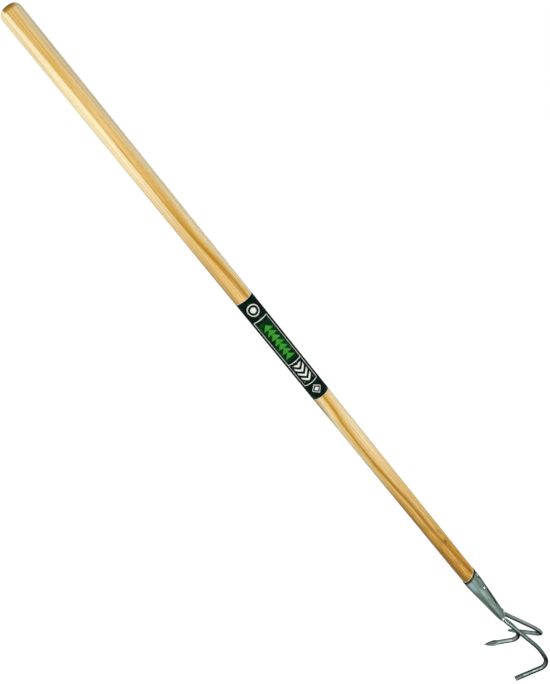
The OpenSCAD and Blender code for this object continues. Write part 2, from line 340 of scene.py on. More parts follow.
def largest(first, *others):
    """The largest of several values."""
    for other in others:
        first = first.maths("MAXIMUM", other)
    return first


def noise(vector, detail, scale=1.0, **more):
    """Soft noise from 0 to 1."""
    return result(vector.tree, "TexNoise", None, Vector=vector, Scale=scale, Detail=detail, **more)


def mixed(share, first, second):
    """Two colours mixed by the share of the second."""
    return result(share.tree, "Mix", {"data_type": "RGBA"}, share, *[None] * 5, first, second, output=2)


def ramp(factor, *stops):
    """Colours along a factor."""
    made = node(factor.tree, "ValToRGB", None, factor)
    points = made.color_ramp.elements
    while len(points) < len(stops):
        points.new(0.5)
    for point, (place, tint) in zip(points, stops):
        point.position, point.color = place, (*tint, 1)
    return Field(factor.tree, made.outputs[0])


def curve(value, *points):
    """Value along a smooth curve through points from 0 to 1."""
    made = node(value.tree, "FloatCurve", None, 1.0, value)
    line = made.mapping.curves[0]
    while len(line.points) < len(points):
        line.points.new(0.5, 0.5)
    for point, place in zip(line.points, points):
        point.location = place
    made.mapping.update()
    return Field(value.tree, made.outputs[0])


def near_spot(place, spot, sizes, core=0.35):
    """1 in the core of an ellipsoid round a spot, falling to 0 at its surface."""
    away = place.vectors("SUBTRACT", spot).vectors("DIVIDE", sizes).vectors("LENGTH", output="Value")
    return step(away, 1.0, core)


def group(name, inputs, outputs, build):
    """Shader node group with named inputs and outputs, built once."""
    tree = bpy.data.node_groups.get(name)
    if tree is None:
        tree = bpy.data.node_groups.new(name, "ShaderNodeTree")
        for label, kind, default in inputs:
            socket = tree.interface.new_socket(name=label, in_out="INPUT", socket_type="NodeSocket" + kind)
            if default is not None:
                socket.default_value = default
        for label, kind in outputs:
            tree.interface.new_socket(name=label, in_out="OUTPUT", socket_type="NodeSocket" + kind)
        source = tree.nodes.new("NodeGroupInput")
        sink = tree.nodes.new("NodeGroupOutput")
        set_inputs(tree, sink, **build({socket.name: Field(tree, socket) for socket in source.outputs}))
    return tree


def placed(inner, **named):
    """Outputs of a node group that is placed in the tree of its Vector input."""
    tree = named["Vector"].tree
    made = tree.nodes.new("ShaderNodeGroup")
    made.node_tree = inner
    set_inputs(tree, made, **named)
    return [Field(tree, output) for output in made.outputs]


def streaks():
    """Fine lines along the third coordinate, such as wood fibres or rolling marks."""
    def build(given):
        squeezed = given["Vector"].vectors("MULTIPLY", given["Fineness"])
        return {"Value": step(noise(squeezed, detail=4.0, Roughness=0.65), 0.32, 0.68)}
    return group("Lengthwise streaks", [("Vector", "Vector", None), ("Fineness", "Vector", (900, 900, 12))],
                 [("Value", "Float")], build)


def specks():
    """Scattered small marks with their size and amount."""
    def build(given):
        stretched = given["Vector"].vectors("MULTIPLY", given["Fineness"])
        tree = stretched.tree
        spots = node(tree, "TexVoronoi", {"feature": "F1"}, Vector=stretched, Scale=1.0).outputs
        chance = result(tree, "SeparateColor", None, Field(tree, spots["Color"]))
        near = step(Field(tree, spots["Distance"]), 0.34, 0.12)
        return {"Value": chance.maths("LESS_THAN", given["Amount"]) * near}
    inputs = [("Vector", "Vector", None), ("Fineness", "Vector", (200, 200, 200)), ("Amount", "Float", 0.2)]
    return group("Scattered specks", inputs, [("Value", "Float")], build)


def weathered():
    """Steel with rolling lines, cloudy stains and small pits."""
    def build(given):
        lined, place = given["Vector"], given["Place"]
        lines = placed(streaks(), Vector=lined, Fineness=given["Fineness"])[0]
        drawn = placed(streaks(), Vector=lined, Fineness=given["Broad"])[0]
        cloud = noise(place, detail=5.0, scale=given["Cloud"], Roughness=0.62, Distortion=0.4)
        pale, stained = step(cloud, 0.5, 0.74), step(cloud, 0.5, 0.28)
        pits = placed(specks(), Vector=place, Fineness=given["Pits"], Amount=0.22)[0]
        tint = given["Steel"]
        for share, cover in ((pale * 0.55, "Pale"), (stained * 0.5, "Dark"),
                             (step(drawn, 0.55, 0.95) * 0.6, "Pale"), (step(drawn, 0.45, 0.05) * 0.6, "Dark"),
                             (lines * 0.16, "Pale"), (pits * 0.5, "Dark")):
            tint = mixed(share, tint, given[cover])
        rough = given["Roughness"] + lines * 0.1 + stained * 0.14 - pale * 0.06
        return {"Color": tint, "Roughness": rough, "Height": lines * 0.35 - pits + cloud * 1.2}
    inputs = [("Vector", "Vector", None), ("Place", "Vector", None), ("Steel", "Color", None),
              ("Pale", "Color", None), ("Dark", "Color", None), ("Fineness", "Vector", (900, 900, 12)),
              ("Broad", "Vector", (90, 3, 1)), ("Pits", "Vector", (500, 500, 500)), ("Cloud", "Float", 90.0),
              ("Roughness", "Float", 0.3)]
    return group("Weathered steel", inputs, [("Color", "Color"), ("Roughness", "Float"), ("Height", "Float")],
                 build)


def material(name):
    """Empty material with its Principled BSDF and output."""
    made = bpy.data.materials.new(name)
    made.use_nodes = True
    tree = made.node_tree
    tree.nodes.clear()
    shader = tree.nodes.new("ShaderNodeBsdfPrincipled")
    node(tree, "OutputMaterial", None, Field(tree, shader.outputs[0]))
    return made, tree, shader


def bumped(shader, height, strength, distance):
    """Feeds a height into the shader's normal."""
    bump = result(height.tree, "Bump", None, Strength=strength, Distance=distance, Height=height)
    set_inputs(height.tree, shader, Normal=bump)


def wood_finish(shaft):
    """Lacquered straight-grained wood whose growth rings drift along the shaft."""
    made, tree, shader = material("Wood")
    place = coordinates(tree, "Object")
    x, y, z = split(place)
    side = x * (math.cos(GRAIN_ACROSS) / shaft.radius) + y * (math.sin(GRAIN_ACROSS) / shaft.radius)
    along = result(tree, "MapRange", None, z, shaft.top, GRAIN_FOOT, 0.0, 1.0)
    # distance from the edge of a growth ring, which wanders across the shaft as it runs down
    wavy = noise(place.vectors("MULTIPLY", (60, 60, 7)), detail=2.0)
    ring = side - curve(along, *RING_DRIFT) + 0.46 + wavy * 0.08
    ring = result(tree, "MapRange", None, ring, RING_FROM, RING_TO, 0.0, 1.0)
    # colours across the ring at five places: where each fades in, then distances and colours
    places = (
        (None, (-1.2, shaft.pale), (-0.04, shaft.pale), (0.03, shaft.golden), (0.2, shaft.amber),
         (0.6, shaft.warm), (1.0, shaft.cream)),
        ((0.2, 0.36), (-1.15, shaft.brown), (-0.6, shaft.warm), (-0.05, shaft.warm), (0.04, shaft.golden),
         (0.22, shaft.brown), (0.45, shaft.amber), (0.8, shaft.cream)),
        ((0.45, 0.55), (-0.95, shaft.umber), (-0.45, shaft.cream), (-0.15, shaft.warm), (-0.03, shaft.amber),
         (0.05, shaft.golden), (0.2, shaft.golden), (0.45, shaft.warm), (0.9, shaft.cream), (1.3, shaft.pale)),
        ((0.64, 0.81), (-0.8, shaft.umber), (-0.35, shaft.amber), (-0.15, shaft.warm), (-0.04, shaft.amber),
         (0.05, shaft.brown), (0.2, shaft.brown), (0.5, shaft.warm), (1.0, shaft.warm)),
        ((0.82, 0.95), (-0.9, shaft.umber), (-0.45, shaft.honey), (-0.05, shaft.honey), (0.05, shaft.brown),
         (0.22, shaft.brown), (0.45, shaft.honey), (0.8, shaft.amber)),
    )
    for reach, *stops in places:
        banded = ramp(ring, *[((far - RING_FROM) / (RING_TO - RING_FROM), cover) for far, cover in stops])
        tint = mixed(step(along, *reach), tint, banded) if reach else banded
    # fibres, finer rings and pores
    fibres = placed(streaks(), Vector=place, Fineness=(700, 700, 9))[0]
    broad = placed(streaks(), Vector=place, Fineness=(340, 340, 4.5))[0]
    pores = placed(specks(), Vector=place, Fineness=(900, 900, 70), Amount=0.16)[0]
    handled = step(along, 0.75, 0.95)
    tint = mixed(step(broad, 0.42, 0.8) * (handled * 0.25 + 0.22), tint, shaft.brown)
    tint = mixed(step(broad, 0.42, 0.1) * (handled * -0.28 + 0.36), tint, shaft.cream)
    tint = mixed(fibres * 0.15, tint, shaft.brown)
    tint = mixed(pores * 0.32, tint, shaft.brown)
    # stains of the hand and of soil towards the head, and a small knot
    stain = step(noise(place.vectors("MULTIPLY", (330, 330, 46)), detail=3.0), 0.46, 0.64)
    tint = mixed(stain * step(along, 0.74, 0.93) * 0.34, tint, shaft.knot)
    knot = near_spot(place, (9.3 * MM, 11.75 * MM, -799 * MM), (2.9 * MM, 2.9 * MM, 7.25 * MM), core=0.31)
    tint = mixed(knot * 0.85, tint, shaft.knot)
    # brown end grain across the middle of the crown, and painted shade that darkens it towards the top
    crown = step(z, shaft.top - 8 * MM, shaft.top - 5 * MM)
    heart = step(side, -0.52, -0.38) * step(side, 0.95, 0.4) * crown
    tint = mixed(heart * 0.85, tint, shaft.brown)
    # painted shade: darker towards the top of the rounding, mottled by noise
    grain = step(noise(place, detail=2.0, scale=420.0), 0.5, 0.7) * 0.3
    grain = grain + step(z, shaft.top - 4.5 * MM, shaft.top - 1.5 * MM) * 0.55
    tint = mixed(grain * heart, tint, shaft.painted_shade_brown)
    # painted highlight as a pale line, and painted shade as a dark line in the gap, along the slanted shoulder
    above = z - y * math.tan(bpy.context.scene.cultivator_socket.slant) - (mouth_middle() + shaft.shoulder_gap)
    tint = mixed(band(above, 1.3 * MM, 3.0 * MM, 0.4 * MM) * 0.55, tint, shaft.pale)
    tint = mixed(step(above, 1.3 * MM, 0.8 * MM) * 0.92, tint, shaft.painted_shade_brown)
    rough = crown * 0.2 + (fibres * 0.14 + 0.36)
    set_inputs(tree, shader, Base_Color=tint, Roughness=rough, Specular_IOR_Level=0.07)
    bumped(shader, fibres - pores * 1.2, strength=0.25, distance=0.1 * MM)
    return made


def label_print(label):
    """Printed film with panels, lines and motifs of its own, laid out in millimetres."""
    made, tree, shader = material("Label film")
    place = coordinates(tree, "Object")
    u, v, _ = split(coordinates(tree, "UV"))
    # round from the middle of the panel, and down from the upper edge
    around, down = u * (UV_SPAN / MM) - PANEL_MIDDLE / MM, v * (UV_SPAN / MM)
    off = abs(around)
    # a clouded green panel
    cloud = noise(place, detail=3.0, scale=70.0)
    green = mixed(step(cloud, 0.3, 0.7), label.panel, label.ground)
    tint = mixed(band(off, -1.0, 12.0, 0.15) * band(down, 44, 118, 0.3), label.ground, green)
    # pale frame lines
    rails = band(off, 12.7, 13.8, 0.12) * band(down, 38, 168, 0.2)
    rungs = largest(*[band(down, at - 0.6, at + 0.6, 0.15) for at in (38, 124, 168)])
    rungs = rungs * band(off, -1.0, 13.2, 0.15)
    # a row of solid teeth in the green panel and of pale chevrons below it
    tooth = ((down - 49.0) / 9.2).maths("FRACT")
    leaf = step(tooth * 8.6 - off, -0.2, 0.2) * band(down, 49, 113.4, 0.2)
    chevron = band((off * 0.85 + down).maths("PINGPONG", 4.6), 2.5, 9.0, 0.15)
    chevron = chevron * band(down, 129, 162, 0.3) * band(off, -1.0, 8.6, 0.2)
    # a ring at the upper end and a lozenge at the lower end
    from_ring = down - 20.0
    ring = (around * around + from_ring * from_ring).maths("SQRT")
    ring = largest(band(ring, 8.2, 9.8, 0.15), band(ring, -1.0, 4.6, 0.15))
    lozenge = off + abs(down - 181.5)
    lozenge = largest(band(lozenge, 7.2, 8.6, 0.15), band(lozenge, -1.0, 4.0, 0.15))
    pale = largest(rails, rungs, ring, lozenge, chevron)
    # the cut ends of the film show as thin pale edges
    ends = abs(band(down, 0.7, (label.top - label.bottom) / MM - 0.7, 0.15) - 1.0)
    tint = mixed(leaf, tint, label.leaf)
    tint = mixed(largest(pale, ends), tint, label.line)
    scuffs = placed(specks(), Vector=place, Fineness=(320, 320, 60), Amount=0.1)[0]
    tint = mixed(scuffs * 0.1, tint, label.line)
    set_inputs(tree, shader, Base_Color=tint, Roughness=scuffs * 0.2 + 0.4, Specular_IOR_Level=0.02)
    bumped(shader, pale * 0.5 + cloud, strength=0.12, distance=0.1 * MM)
    return made


def steel_finish(name, settings, roughness, fineness, broad, cloud, mapped=False, patch=None, dulled=None):
    """Grey steel of a piece, drawn along its UV map where that is asked, with given patches and dull places."""
    made, tree, shader = material(name)
    place = coordinates(tree, "Object")
    tint, rough, height = placed(
        weathered(), Vector=coordinates(tree, "UV") if mapped else place, Place=place, Steel=settings.steel,
        Pale=getattr(settings, "pale", settings.steel), Dark=settings.dark, Fineness=fineness, Broad=broad,
        Cloud=cloud, Roughness=roughness)
    if patch:
        tint = patch(place, tint)
    if dulled:
        rough = rough + dulled(place)
    set_inputs(tree, shader, Base_Color=tint, Roughness=rough, Metallic=1.0, Specular_Tint=(0.35, 0.37, 0.37))
    bumped(shader, height, strength=0.18, distance=0.2 * MM)
    return made


def mouth_shade_and_reflection(place, tint):
    """Painted reflection as a bluish patch left of the crease, and painted shade right of it, round the nail
    heads, along the rim and beside the open seam.
    """
    socket, nails = bpy.context.scene.cultivator_socket, bpy.context.scene.cultivator_nails
    middle = mouth_middle()
    x, y, z = split(place)
    for spot, sizes, share, cover in (
        # painted reflection: a bluish patch left of the crease
        ((14.6 * MM, -0.5 * MM, middle - 14 * MM), (6 * MM, 7 * MM, 26 * MM), 0.8, socket.blue),
        # painted shade: a dark patch right of the crease
        ((12 * MM, 9.8 * MM, middle - 12 * MM), (7 * MM, 6.5 * MM, 30 * MM), 0.95, socket.dark),
        # painted shade: dark rings round the two nail heads
        (nail_frame(nails.upper, 0).translation, (8.2 * MM,) * 3, 0.97, socket.painted_shade_grey),
        (nail_frame(nails.lower, nails.swing).translation, (6 * MM,) * 3, 0.8, socket.painted_shade_grey),
    ):
        tint = mixed(near_spot(place, spot, sizes) * share, tint, cover)
    # painted shade: a dark band along the rim, where the gap to the wood is
    rim = step(z - y * math.tan(socket.slant), middle - 3.6 * MM, middle - 2.8 * MM)
    tint = mixed(rim * 0.85, tint, socket.painted_shade_grey)
    # painted shade: dark sheet beside the open seam
    seam_shade = abs(x + (z - middle) * math.tan(socket.seam_turn))
    seam_shade = step(seam_shade, 3.2 * MM, 2.2 * MM) * step(y, 0, 2 * MM)
    seam_shade = seam_shade * band(z, middle - 90 * MM, middle - 44 * MM, 4 * MM)
    return mixed(seam_shade * 0.97, tint, socket.painted_shade_grey)


def heat_colour_and_shade(place, tint):
    """Painted shade on the right tine and violet grey heat colour at the other two bends."""
    tines = bpy.context.scene.cultivator_tines
    x, y, z = split(place)
    # painted shade: the right tine darkened
    tint = mixed(step(x, 5 * MM, 12 * MM) * 0.8, tint, tines.painted_shade_steel)
    left = step(x, -6 * MM, -20 * MM) * step(y, 6 * MM, 20 * MM)
    middle = step(z, -1050 * MM, -1070 * MM) * step(abs(x), 8 * MM, 6 * MM)
    bends = largest(left, middle) * step(y, -34 * MM, -24 * MM)
    return mixed(bends * 0.55, tint, tines.heat)


def ground_blade(place):
    """Added roughness of the ground spear blade."""
    x, y, _ = split(place)
    return step(abs(x), 9 * MM, 7 * MM) * step(y, -36 * MM, -44 * MM) * 0.3


def finished(name, bm, finish, slot, *nodes, sharp=35, outward=True):
    """Turns a bmesh into a piece that takes the place of CAD nodes, which it hides, and hangs it on the root
    body's empty.
    """
    if not bm.faces:
        raise RuntimeError(f"{name} has no faces")
    if outward:
        bmesh.ops.recalc_face_normals(bm, faces=bm.faces)
    mesh = bpy.data.meshes.new(name)
    bm.to_mesh(mesh)
    bm.free()
    mesh.shade_smooth()
    mesh.set_sharp_from_angle(angle=math.radians(sharp))
    mesh.materials.append(finish)
    piece = bpy.data.objects.new(name, mesh)
    bpy.context.scene.collection.objects.link(piece)
    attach(piece, BODY)
    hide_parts(*nodes)
    return piece


def write_uv(bm, uv, flat):
    """Writes a UV map from the place of each vertex on the flat sheet."""
    for face in bm.faces:
        for loop in face.loops:
            around, down = flat[loop.vert]
            loop[uv].uv = (around / UV_SPAN, down / UV_SPAN)


def walled(piece, name, thickness):
    """Gives a sheet its thickness, inwards from its outer face."""
    wall = piece.modifiers.new(name, "SOLIDIFY")
    wall.thickness, wall.offset = thickness, -1


def spun(bm, outline, steps=TURN_STEPS):
    """Spins a half outline of radius and height about Z."""
    dots = [bm.verts.new((radius, 0, height)) for radius, height in outline]
    lines = [bm.edges.new(pair) for pair in zip(dots, dots[1:])]
    bmesh.ops.spin(bm, geom=dots + lines, cent=(0, 0, 0), axis=(0, 0, 1), angle=math.tau, steps=steps,
                   use_merge=True)
    bmesh.ops.remove_doubles(bm, verts=bm.verts, dist=1e-6)


def rounding(radius, centre_out, centre_up, first, last, count):
    """Points of a rounded corner in a half outline, by angles above the horizontal."""
    turns = [math.radians(first + (last - first) * i / count) for i in range(count + 1)]
    return [(centre_out + radius * math.cos(t), centre_up + radius * math.sin(t)) for t in turns]


def mouth_middle():
    """Height of the middle of the socket's mouth."""
    socket = bpy.context.scene.cultivator_socket
    return socket.end + socket.depth


def build_shaft():
    """The shaft, from its rounded top end to the tenon in the socket."""
    shaft, socket = bpy.context.scene.cultivator_shaft, bpy.context.scene.cultivator_socket
    middle = mouth_middle()
    rim = middle + math.tan(socket.slant) * socket.radius
    collar_end = middle - socket.collar
    neck_radius = shaft.radius - shaft.neck_step
    high, low = shaft.top - shaft.end_round, rim + shaft.neck
    outline = [(0, shaft.top), (shaft.radius - shaft.end_round, shaft.top)]
    outline += rounding(shaft.end_round, shaft.radius - shaft.end_round, high, first=84, last=0, count=14)
    outline += [(shaft.radius, high + (low - high) * i / SHAFT_ROWS) for i in range(1, SHAFT_ROWS + 1)]
    outline += [(neck_radius, rim), (neck_radius, collar_end)]
    bm = bmesh.new()
    spun(bm, outline)
    # slanted shoulder, then the tenon below it
    tilt = Vector((0, -math.sin(socket.slant), math.cos(socket.slant)))
    cut = bmesh.ops.bisect_plane(bm, geom=bm.verts[:] + bm.edges[:] + bm.faces[:], clear_inner=True,
                                 plane_co=(0, 0, middle + shaft.shoulder_gap), plane_no=tilt)
    rim_edges = [e for e in cut["geom_cut"] if isinstance(e, bmesh.types.BMEdge)]
    face = bmesh.ops.edgeloop_fill(bm, edges=rim_edges)["faces"][0]
    bmesh.ops.inset_region(bm, faces=[face], thickness=neck_radius - shaft.tenon_radius, use_even_offset=True)
    for radius, height in ((shaft.tenon_radius, collar_end), (shaft.tip_radius, shaft.bottom)):
        face = bmesh.ops.extrude_discrete_faces(bm, faces=[face])["faces"][0]
        for vert in face.verts:
            flat = Vector((vert.co.x, vert.co.y, 0)).normalized() * radius
            vert.co = (flat.x, flat.y, height)
    worn = [e for e in rim_edges if e.is_valid]
    bmesh.ops.bevel(bm, geom=worn, offset=0.35 * MM, affect="EDGES", segments=2, profile=0.5, material=-1)
    return finished("shaft", bm, wood_finish(shaft), "wood", "handle")


def build_label():
    """The film, rolled once round the shaft and lapped over its own edge at the back."""
    label = bpy.context.scene.cultivator_label
    turn = math.tau + label.lap
    bm = bmesh.new()
    # the sheet is a flat grid that is rolled: its first side is the turn, its second the length
    bmesh.ops.create_grid(bm, x_segments=TURN_STEPS + 4, y_segments=24, size=0.5)
    uv = bm.loops.layers.uv.new("UVMap")
    flat = {}
    for vert in bm.verts:
        part, drop = vert.co.x + 0.5, (0.5 - vert.co.y) * (label.top - label.bottom)
        turned = label.facing + (part - 0.5) * turn
        radius = label.radius - label.film * LAP_RISE * (1 - part)
        flat[vert] = (PANEL_MIDDLE + (turned - label.facing) * label.radius, drop)
        vert.co = (radius * math.cos(turned), radius * math.sin(turned), label.top - drop)
    write_uv(bm, uv, flat)
    piece = finished("label_sleeve", bm, label_print(label), "label_film", "label", outward=False)
    walled(piece, "Film", label.film)
    return piece


def socket_outline(part, count=1440):
    """Points of the socket's cross section at a share of its taper, from the front round to the front."""
    socket = bpy.context.scene.cultivator_socket
    turns = np.linspace(-math.pi / 2, 1.5 * math.pi, count)
    ways = np.stack([np.cos(turns), np.sin(turns)], axis=1)
    roots = np.array([(socket.root_spread / 2, socket.root_back), (-socket.root_spread / 2, socket.root_back),
                      (0, -socket.root_front)])
    reach = (1 - part) * socket.radius + part * (socket.end_radius + (ways @ roots.T).max(axis=1))
    facing = ways @ ways.T
    facing[facing < 1e-3] = 1e-3
    out = (reach[None, :] / facing).min(axis=1)
    return ways * out[:, None]


def socket_row(drop):
    """Points across the sheet at one distance below the mouth, from the seam's right edge to its left one."""
    socket = bpy.context.scene.cultivator_socket
    ring = socket_outline(max(0.0, drop - socket.collar) / (socket.depth - socket.collar))
    # the open seam, with its round lower end
    half, low = socket.seam_width / 2, drop - socket.seam_length
    gap = half if low <= 0 else math.sqrt(max(0.0, half * half - low * low))
    slid = drop * math.tan(socket.seam_turn)
    beside = gap + np.array(SEAM_COLUMNS) * MM
    back = ring[ring[:, 1] > 0]
    back = back[np.argsort(back[:, 0])]
    right, left = (np.stack([place, np.interp(place, back[:, 0], back[:, 1])], axis=1)
                   for place in (slid + beside, slid - beside[::-1]))
    # the rest of the ring by even lengths, from the last column beside the seam round the front
    start = np.argmin(np.hypot(*(ring - right[-1]).T))
    lap = np.vstack([right[-1:], np.roll(ring[:-1], -start, axis=0)[::-1]])
    stop = np.argmin(np.hypot(*(lap - left[0]).T))
    lap = np.vstack([lap[:stop], left[:1]])
    run = np.concatenate([[0], np.cumsum(np.hypot(*np.diff(lap, axis=0).T))])
    even = np.linspace(0, run[-1], EVEN_COLUMNS + 2)
    path = np.stack([np.interp(even, run, lap[:, 0]), np.interp(even, run, lap[:, 1])], axis=1)
    return np.vstack([right[:-1], path, left[1:]])


def nail_frame(drop, swing):
    """Place of a nail on the socket's wall: Z points out of the wall."""
    scene = bpy.context.scene
    socket, seat = scene.cultivator_socket, scene.cultivator_nails.seat
    way = Vector((math.sin(swing), math.cos(swing), 0))
    root = Vector((socket.root_spread / 2 if swing else 0, socket.root_back, 0))
    run = socket.depth - socket.collar
    part = max(0.0, drop - socket.collar) / run
    slope = math.atan((socket.radius - socket.end_radius - root.dot(way)) / run) if part else 0.0
    spot = ((1 - part) * socket.radius + part * socket.end_radius) * way + part * root
    return (Matrix.Translation(spot + Vector((0, 0, mouth_middle() - drop))) @ Matrix.Rotation(-swing, 4, "Z")
            @ Matrix.Rotation(-math.pi / 2 - slope, 4, "X") @ Matrix.Translation((0, 0, -seat)))


def pressed(spot, seats, depth):
    """A spot of the sheet, pressed in where it lies in a nail's seat."""
    for seat in seats:
        local = seat.inverted() @ spot
        away = math.hypot(local.x, local.y)
        # the far wall, below the same nail, is not pressed
        if local.z > -6 * MM and away < SEAT_RADIUS:
            press = min(1.0, (SEAT_RADIUS - away) / SEAT_SLOPE)
            spot = spot - seat.to_3x3().col[2] * depth * (press * press * (3 - 2 * press))
    return spot


def build_socket():
    """The socket, rolled from one flat sheet so that its two edges meet in the seam at the back."""
    scene = bpy.context.scene
    socket, nails = scene.cultivator_socket, scene.cultivator_nails
    seats = [nail_frame(nails.upper, 0), nail_frame(nails.lower, nails.swing)]
    rows = [(drop * MM, socket_row(drop * MM)) for drop in SHEET_DROPS]
    columns = len(rows[0][1]) - 1
    bm = bmesh.new()
    bmesh.ops.create_grid(bm, x_segments=columns, y_segments=len(rows) - 1, size=0.5)
    uv = bm.loops.layers.uv.new("UVMap")
    flat = {}
    for vert in bm.verts:
        drop, points = rows[round((0.5 - vert.co.y) * (len(rows) - 1))]
        column = round((vert.co.x + 0.5) * columns)
        x, y = points[column]
        out = math.hypot(x, y)
        rise = math.tan(socket.slant) * y * max(0.0, 1 - drop / socket.collar)
        # a soft crease that fades below the collar
        turned = (math.atan2(y, x) - socket.crease) * out
        fold = CREASE_RISE * math.exp(-(turned / CREASE_WIDTH) ** 2) * max(0.0, 1 - drop / CREASE_LENGTH)
        grown = 1 + fold / out
        spot = Vector((x * grown, y * grown, mouth_middle() - drop + rise))
        flat[vert] = (column / columns * SHEET_GIRTH, drop)
        vert.co = pressed(spot, seats, nails.seat)
    write_uv(bm, uv, flat)
    bmesh.ops.remove_doubles(bm, verts=bm.verts, dist=2e-6)
    bmesh.ops.dissolve_degenerate(bm, edges=bm.edges, dist=1e-6)
    bmesh.ops.recalc_face_normals(bm, faces=bm.faces)
    if sum(face.calc_center_median().xy.dot(face.normal.xy) for face in bm.faces) < 0:
        bmesh.ops.reverse_faces(bm, faces=bm.faces)
    finish = steel_finish("Sheet steel", socket, roughness=0.35, fineness=(1500, 45, 1), broad=(100, 6, 1),
                          cloud=60.0, mapped=True, patch=mouth_shade_and_reflection)
    piece = finished("rolled_socket", bm, finish, "sheet_steel", "socket", outward=False)
    walled(piece, "Sheet", socket.sheet)
    edge = piece.modifiers.new("Rubbed edges", "BEVEL")
    edge.width, edge.segments, edge.limit_method, edge.angle_limit = 0.22 * MM, 2, "ANGLE", math.radians(50)
    return piece


def build_nails():
    """Two domed nails, on the seam and beside it, their heads flattened a little by the hammer."""
    nails = bpy.context.scene.cultivator_nails
    finish = steel_finish("Nail steel", nails, roughness=0.34, fineness=(300,) * 3, broad=(260,) * 3,
                          cloud=260.0)
    ball = (nails.head ** 2 + nails.dome ** 2) / (2 * nails.dome)
    rim = math.degrees(math.asin((ball - nails.dome) / ball))
    flat = nails.dome * 0.97
    dome = rounding(ball, 0, nails.dome - ball, first=84, last=rim, count=12)
    outline = [(0, flat)] + [(radius, min(height, flat)) for radius, height in dome]
    outline += [(nails.head - 0.15 * MM, 0), (nails.shank, 0), (nails.shank, -nails.reach + 2 * nails.shank),
                (0.2 * MM, -nails.reach), (0, -nails.reach)]
    for name, cad_node, drop, swing in (("upper_nail_head", "upper_nail", nails.upper, 0.0),
                                        ("lower_nail_head", "lower_nail", nails.lower, nails.swing)):
        bm = bmesh.new()
        spun(bm, outline, steps=64)
        bmesh.ops.transform(bm, matrix=nail_frame(drop, swing), verts=bm.verts)
        finished(name, bm, finish, "nail_steel", cad_node)


def turn_about(axis, radians):
    """Rotation about one axis."""
    return Matrix.Rotation(radians, 4, axis)


def move_on(matrix, distance):
    """Frame moved forward along its own Z."""
    return matrix @ Matrix.Translation((0, 0, distance))


def arc(matrix, radius, turn, steps):
    """Frames along a bend from Z towards X, after its start."""
    out = Matrix.Translation((radius, 0, 0))
    back = Matrix.Translation((-radius, 0, 0))
    return [matrix @ out @ turn_about("Y", turn * i / steps) @ back for i in range(1, steps + 1)]


def run_of(matrix, distance, steps):
    """Frames along a straight stretch, after its start."""
    return [move_on(matrix, distance * i / steps) for i in range(1, steps + 1)]


def tine_frames(side, rise, shank, bend_radius, hook):
    """Frames along a tine's centre line, from its root in the socket to its forged end."""
    scene = bpy.context.scene
    tines, socket = scene.cultivator_tines, scene.cultivator_socket
    spread = socket.end - tines.bend_at
    spot = Vector((side * socket.root_spread / 2, socket.root_back if side else -socket.root_front, spread))
    shank_turn = (turn_about("Y", -side * tines.splay) @ turn_about("Z", side * tines.lean)
                  @ turn_about("Z", -math.pi / 2) @ turn_about("X", math.pi) @ turn_about("Y", -rise))
    way = shank_turn @ Vector((0, 0, 1))
    turn = math.acos(-way.z)
    reach = tines.bend_radius * math.tan(turn / 2)
    start = Matrix.Translation(spot) @ shank_turn @ Matrix.Translation((0, 0, reach))
    bend = (Matrix.Translation(spot + Vector((0, 0, reach))) @ turn_about("Z", math.atan2(way.y, way.x))
            @ turn_about("X", math.pi))
    root = tines.top - spread - reach
    frames = [move_on(bend, -root)]
    frames += run_of(frames[0], root, steps=6)
    frames += arc(frames[-1], tines.bend_radius, turn, steps=8)
    # the root turns about its own axis so that it meets the shank without a twist
    twist = (frames[-1].inverted() @ start).to_3x3().to_euler().z
    frames = [f @ turn_about("Z", twist) for f in frames]
    frames += run_of(frames[-1], shank, max(4, round(shank / ROD_STEP)))
    frames += arc(frames[-1], tines.sweep_radius, tines.sweep, steps=14)
    frames += arc(frames[-1], bend_radius, tines.hook, steps=26)
    frames += run_of(frames[-1], hook, max(4, round(hook / ROD_STEP)))
    return frames


def build_tine(name, cad_node, side, rise, lengths, end_rings, finish):
    """One bent rod: a ring drawn along the tine's frames, then forged out into its end."""
    tines = bpy.context.scene.cultivator_tines
    full = 2 * tines.rod
    frames = tine_frames(side, rise, *lengths)
    stations = [(f, turn_about("Z", 0.0), 1.0, 1.0) for f in frames]
    for drop, thick, wide, twist in end_rings:
        stations.append((move_on(frames[-1], drop), turn_about("Z", twist), thick / full, wide / full))
    bm = bmesh.new()
    bmesh.ops.create_circle(bm, segments=ROD_SIDES, radius=tines.rod, cap_ends=True)
    around = bm.verts.layers.float.new("around")
    along = bm.verts.layers.float.new("along")
    for vert in bm.verts:
        vert[around] = math.atan2(vert.co.y, vert.co.x)
    shaped = Matrix.Identity(4)
    ring = bm.edges[:]
    verts = bm.verts[:]
    travelled = 0.0
    before = None
    for place, twist, thick, wide in stations:
        if before is not None:
            travelled += (place.translation - before).length
            pulled = bmesh.ops.extrude_edge_only(bm, edges=ring)["geom"]
            verts = [g for g in pulled if isinstance(g, bmesh.types.BMVert)]
            ring = [g for g in pulled if isinstance(g, bmesh.types.BMEdge)
                    and all(v in set(verts) for v in g.verts)]
        target = place @ twist @ Matrix.Diagonal((thick, wide, 1, 1)) @ twist.inverted()
        bmesh.ops.transform(bm, matrix=target @ shaped.inverted(), verts=verts)
        for vert in verts:
            vert[along] = travelled
        shaped, before = target, place.translation.copy()
    bmesh.ops.edgeloop_fill(bm, edges=ring)
    uv = bm.loops.layers.uv.new("UVMap")
    for face in bm.faces:
        turns = [loop.vert[around] for loop in face.loops]
        wraps = len(turns) == 4 and max(turns) - min(turns) > math.pi
        for loop, turned in zip(face.loops, turns):
            turned = turned + math.tau if wraps and turned < 0 else turned
            loop[uv].uv = ((turned + math.pi) * tines.rod / UV_SPAN, loop.vert[along] / UV_SPAN)
    return finished(name, bm, finish, "rod_steel", cad_node, sharp=42)


